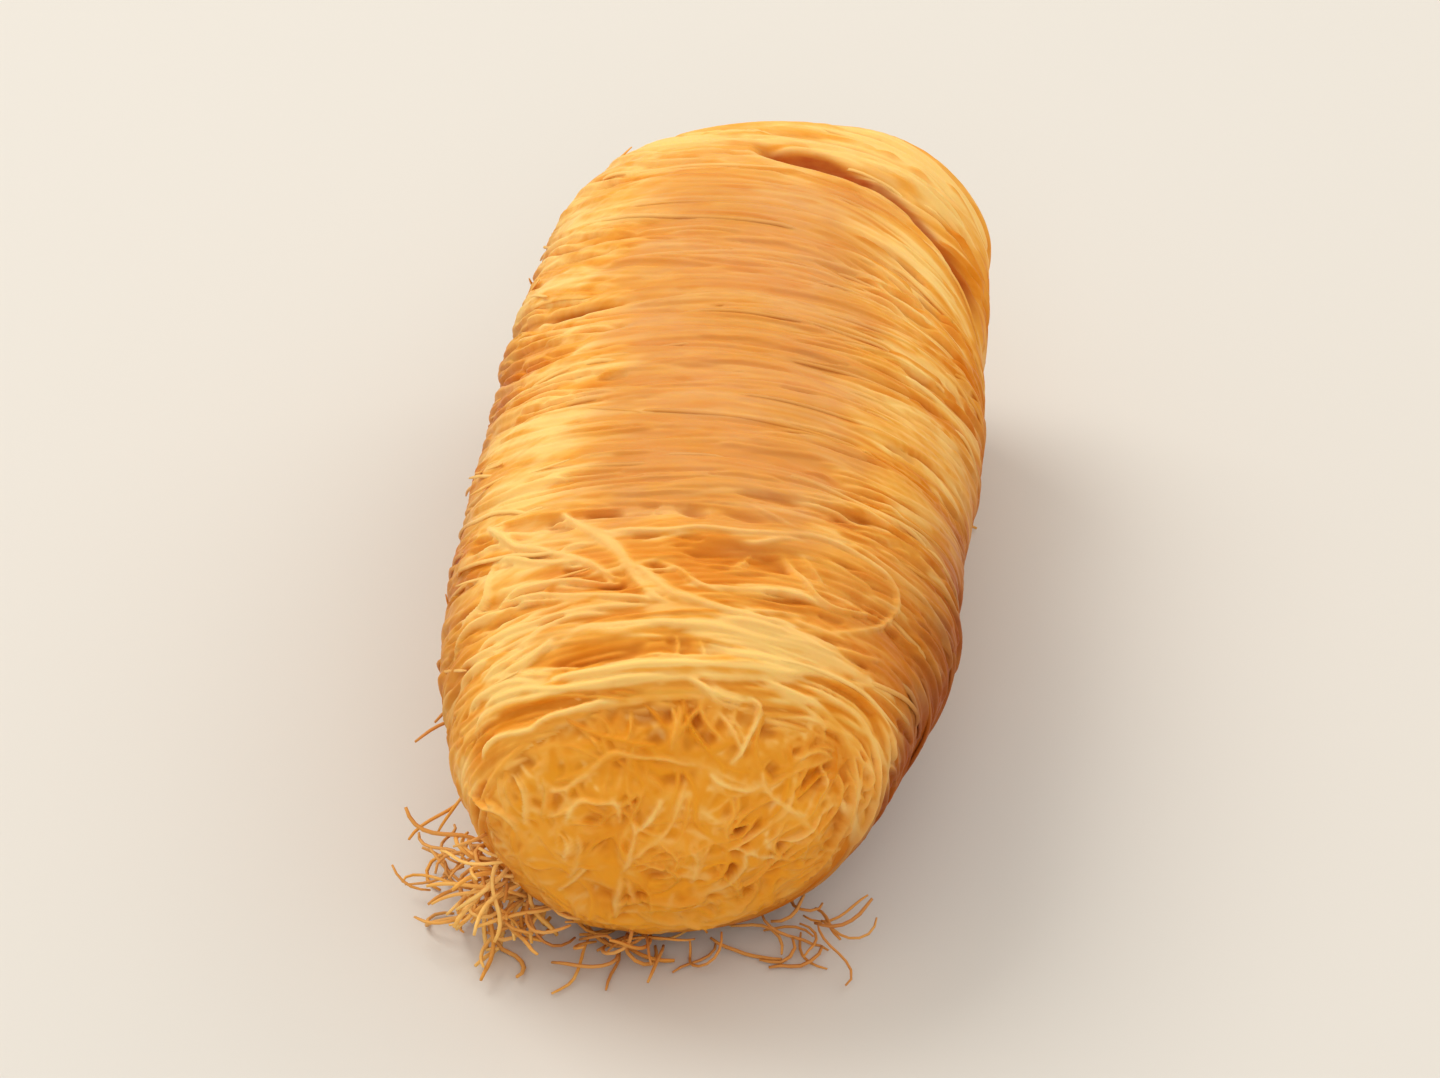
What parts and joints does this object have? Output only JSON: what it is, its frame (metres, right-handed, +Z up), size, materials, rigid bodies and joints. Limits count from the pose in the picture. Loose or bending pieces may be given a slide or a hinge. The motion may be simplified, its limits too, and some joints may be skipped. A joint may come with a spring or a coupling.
{
  "type": "kunafa finger",
  "caption": "Rolled pastry finger wound from fine golden shredded dough strands, with a domed front end, toasted top and a flat base to rest on.",
  "frame": {"origin": "middle of the footprint, on the flat base", "axes": "+Z up; +Y along the roll, from the domed front end towards the squarer back end; +X across the roll, to the right when seen from the front end"},
  "size_m": [0.0344, 0.067, 0.0289],
  "materials": {
    "pastry": "golden baked dough strands, browner on top, with a soft syrup gloss"
  },
  "bodies": {
    "root": {"kunafa_roll": "pastry"}
  },
  "joints": []
}
